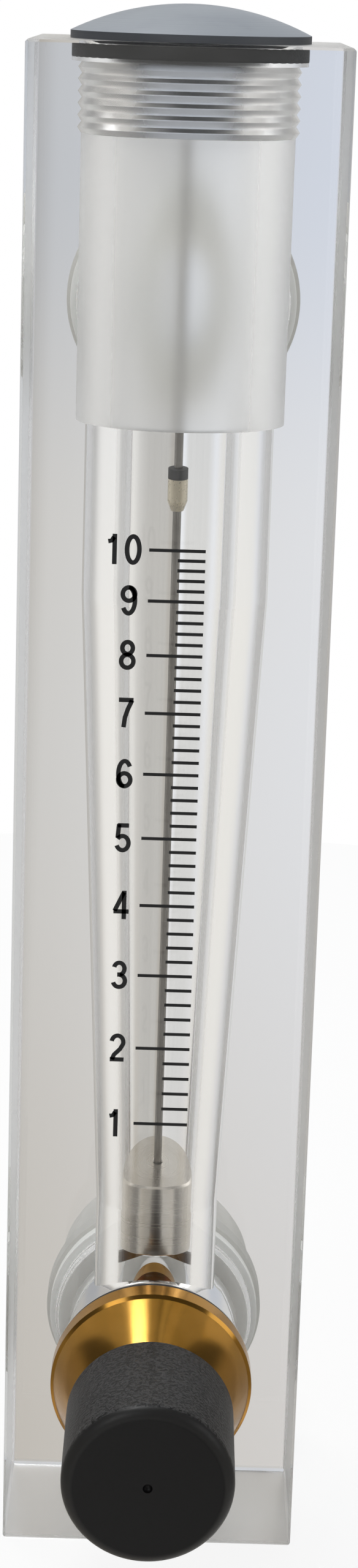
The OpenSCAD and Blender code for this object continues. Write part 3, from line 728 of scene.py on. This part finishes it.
# Half a turn up to the crest and half a turn down again
part = add(thread_tree, "Math", {"operation": "PINGPONG", 1: 0.5}, {0: turns}).outputs[0]
height = level(thread_tree, part, FLAT_ROOT, 0.5)
blank = given["Blank"]
for stretch, depth in ((OUTER_THREADS[0], "Outer Depth"), (OUTER_THREADS[1], "Outer Depth"),
                       (INNER_THREAD, "Inner Depth")):
    start, end, least, greatest = (value * MM for value in stretch)
    lead = (end - start) * LEAD
    here = both(thread_tree, level(thread_tree, y, start, start + lead),
                level(thread_tree, y, end, end - lead), "MINIMUM")
    here = both(thread_tree, here, within(thread_tree, radius, least, greatest, SHARP_EDGE))
    lift = both(thread_tree, both(thread_tree, here, height), given[depth])
    offset = add(thread_tree, "VectorMath", {"operation": "SCALE"}, {
        0: outward, "Scale": lift}).outputs[0]
    blank = add(thread_tree, "GeometryNodeSetPosition", None, {
        "Geometry": blank, "Offset": offset}).outputs[0]
finish_tree(thread_tree, blank, given["Finish"], out)
print("thread tree:", len(thread_tree.nodes), "nodes")

# %% Two adapters
OUTER_DEPTH = 0.7 * MM
INNER_DEPTH = 0.45 * MM
SHARP_DEGREES = 35
for node_name, height_of_port in (("inlet_adapter", VALVE_Z), ("outlet_adapter", OUTLET_Z)):
    blank_mesh = turned_blank("blank_" + node_name, ADAPTER_MM,
                              THREAD_PITCH / MM / THREAD_STEPS)
    adapter = grow(thread_tree, {
        "Pitch": THREAD_PITCH, "Outer Depth": OUTER_DEPTH, "Inner Depth": INNER_DEPTH,
        "Finish": milky,
    }, "threaded_" + node_name, Matrix.Translation((0, 0, height_of_port)), blank_mesh)
    adapter.data.shade_smooth()
    adapter.data.set_sharp_from_angle(angle=math.radians(SHARP_DEGREES))
    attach(adapter, "root")
    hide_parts(node_name)
    print(adapter.name, len(adapter.data.polygons), "faces",
          [round(side / MM, 1) for side in adapter.dimensions])

# %% [markdown]
# ## Numbers beside the scale
# Plain numbers are stamped to the left of the long marks. A stamp's digits have strokes
# of one width, so each is drawn as a few pen paths: straight runs and parts of ellipses
# in a cell one unit high. A path becomes a flat ribbon of ink.

# %% Pen paths of the digits
# The scale's first mark, and how the units close up along the taper
SCALE_LOW_Z = 90 * MM
TAPER_LEN = 122 * MM
UNIT_SHARE = 0.1293
CLOSING_SHARE = 0.00305
DIGIT_H = 5.6 * MM
INK_T = 0.05 * MM
CELL_LEFT_X = -9.75 * MM
# Width of a stroke, step to the next digit and shift of a pair, in heights of a digit
STROKE = 0.15
ADVANCE = 0.6
PAIR_SHIFT = 0.1
DEGREES_PER_STEP = 10
READINGS = range(1, 11)


def mark_z(reading):
    """Height of a scale reading."""
    steps = reading - 1
    return SCALE_LOW_Z + TAPER_LEN * (UNIT_SHARE * steps - CLOSING_SHARE * steps ** 2)


def bow(x, y, rx, ry, start, end):
    """Part of an ellipse, from one angle to another in degrees."""
    steps = max(4, int(abs(end - start) / DEGREES_PER_STEP))
    angles = [math.radians(start + (end - start) * i / steps) for i in range(steps + 1)]
    return [(x + rx * math.cos(a), y + ry * math.sin(a)) for a in angles]


def six(flip):
    """The two strokes of a 6, or of a 9 when flipped."""
    strokes = [bow(0.275, 0.5, 0.205, 0.432, 35, 270), bow(0.27, 0.29, 0.2, 0.222, 0, 360)]
    if flip:
        strokes = [[(0.54 - x, 1 - y) for x, y in stroke] for stroke in strokes]
    return strokes


STROKES = {
    "0": [bow(0.27, 0.5, 0.2, 0.432, 0, 360)],
    "1": [[(0.27, 0.0), (0.27, 1.0)], [(0.06, 0.755), (0.17, 0.775), (0.25, 0.9)]],
    "2": [bow(0.27, 0.7, 0.195, 0.232, 172, -20) + [(0.36, 0.45), (0.16, 0.24), (0.09, 0.07)],
          [(0.02, 0.07), (0.49, 0.07)]],
    "3": [bow(0.265, 0.72, 0.175, 0.212, 165, -80), bow(0.265, 0.285, 0.2, 0.217, 85, -165),
          [(0.2, 0.51), (0.3, 0.51)]],
    "4": [[(0.37, 0.0), (0.37, 1.0)], [(0.36, 0.95), (0.06, 0.29)], [(0.02, 0.27), (0.53, 0.27)]],
    "5": [[(0.1, 0.93), (0.47, 0.93)], [(0.14, 0.97), (0.1, 0.5)],
          bow(0.265, 0.315, 0.2, 0.247, 145, -160)],
    "6": six(False),
    "7": [[(0.03, 0.93), (0.51, 0.93)], [(0.46, 0.92), (0.33, 0.62), (0.24, 0.33), (0.2, 0.0)]],
    "8": [bow(0.27, 0.73, 0.17, 0.2, 0, 360), bow(0.27, 0.285, 0.2, 0.217, 0, 360)],
    "9": six(True),
}


def ribbon(stroke):
    """Left and right edge points of a pen path."""
    pairs = []
    closed = math.dist(stroke[0], stroke[-1]) < 0.001
    for i, (x, y) in enumerate(stroke):
        before = stroke[i - 1] if i else stroke[-2 if closed else 0]
        after = stroke[i + 1] if i + 1 < len(stroke) else stroke[1 if closed else -1]
        run = Vector((after[0] - before[0], after[1] - before[1])).normalized()
        side = Vector((-run.y, run.x)) * STROKE / 2
        pairs.append(((x + side.x, y + side.y), (x - side.x, y - side.y)))
    return pairs


print("digits drawn:", len(STROKES))

# %% Numbers
numbers = bmesh.new()
for reading in READINGS:
    word = str(reading)
    for place_in_word, digit in enumerate(word):
        left = CELL_LEFT_X - (len(word) - 1 - place_in_word) * ADVANCE * DIGIT_H
        left += PAIR_SHIFT * DIGIT_H * (len(word) - 1)
        low = mark_z(reading) - DIGIT_H / 2
        for stroke in STROKES[digit]:
            rails = []
            for pair in ribbon(stroke):
                rails.append([numbers.verts.new((left + x * DIGIT_H, FRONT_Y - depth,
                                                 low + y * DIGIT_H))
                              for x, y in pair for depth in (INK_T, 0.0)])
            for near, far in zip(rails, rails[1:]):
                for a, b in ((0, 2), (2, 3), (3, 1), (1, 0)):
                    numbers.faces.new((near[a], near[b], far[b], far[a]))
            for end in (rails[0], rails[-1]):
                numbers.faces.new((end[0], end[2], end[3], end[1]))
bmesh.ops.recalc_face_normals(numbers, faces=numbers.faces)
numbers_mesh = bpy.data.meshes.new("scale_numbers")
numbers.to_mesh(numbers_mesh)
numbers.free()
numbers_mesh.materials.append(ink)
scale_numbers = bpy.data.objects.new("scale_numbers", numbers_mesh)
bpy.context.scene.collection.objects.link(scale_numbers)
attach(scale_numbers, "root")
print("numbers:", len(numbers_mesh.polygons), "faces")

# %% View settings and the end
bpy.context.scene.view_settings.view_transform = "Standard"
